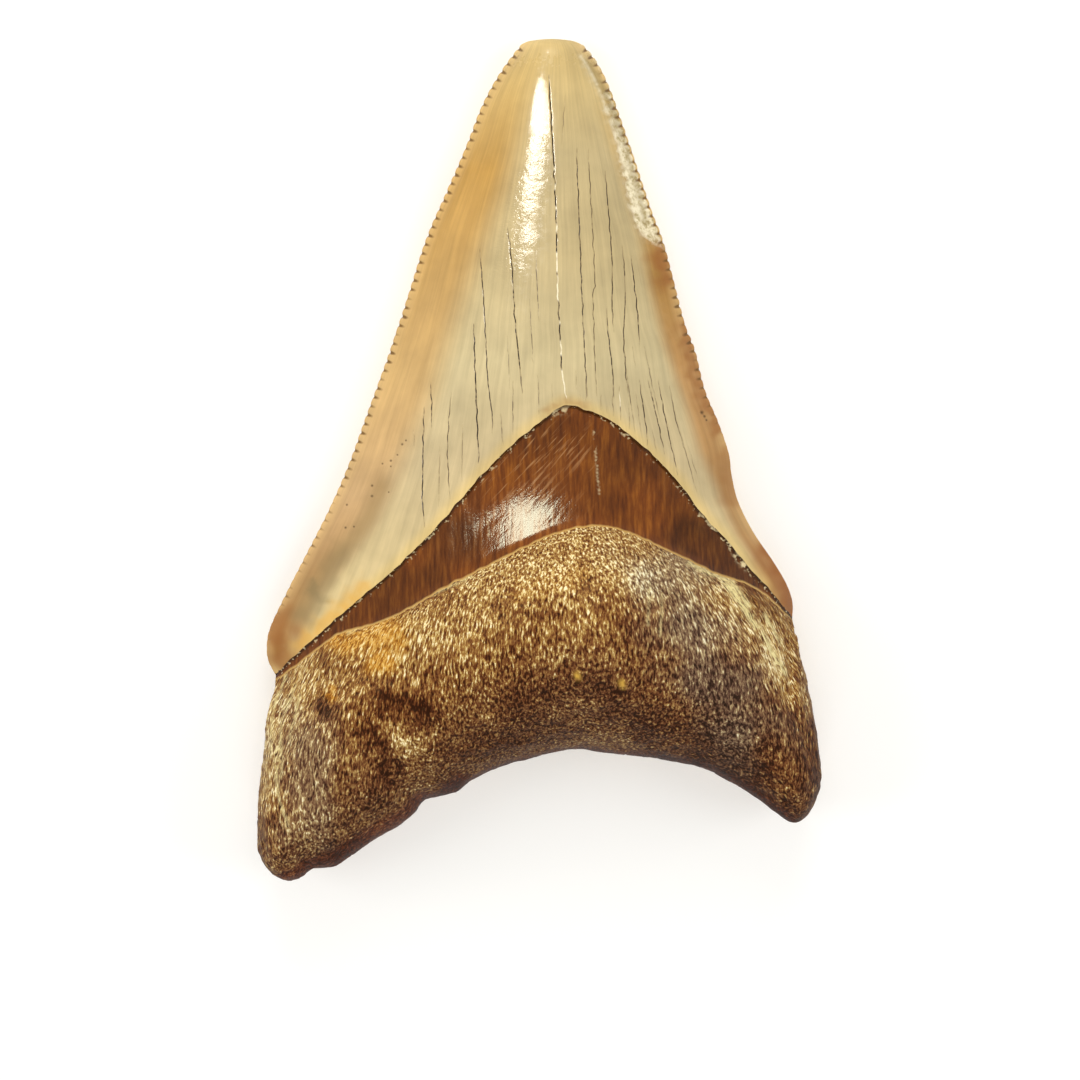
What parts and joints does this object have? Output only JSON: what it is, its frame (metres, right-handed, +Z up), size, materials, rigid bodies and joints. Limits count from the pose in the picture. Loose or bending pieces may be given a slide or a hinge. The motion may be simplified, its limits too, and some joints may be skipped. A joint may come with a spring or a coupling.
{
  "type": "megalodon tooth",
  "caption": "Fossil shark tooth: serrated triangular enamel crown, smooth dark neck band and a thick rough root with rounded lobes, lying on its flatter face.",
  "frame": {"origin": "on the surface the tooth lies on, under the middle of its outline", "axes": "+Y from the root to the tip, +Z up out of the lingual face, +X to the right with the tip pointing away"},
  "size_m": [0.059, 0.0884, 0.0179],
  "materials": {
    "fossil_tooth": "polished ivory enamel crown, satin brown neck band, rough brown and gold root"
  },
  "bodies": {
    "root": {"tooth": "fossil_tooth"}
  },
  "joints": []
}
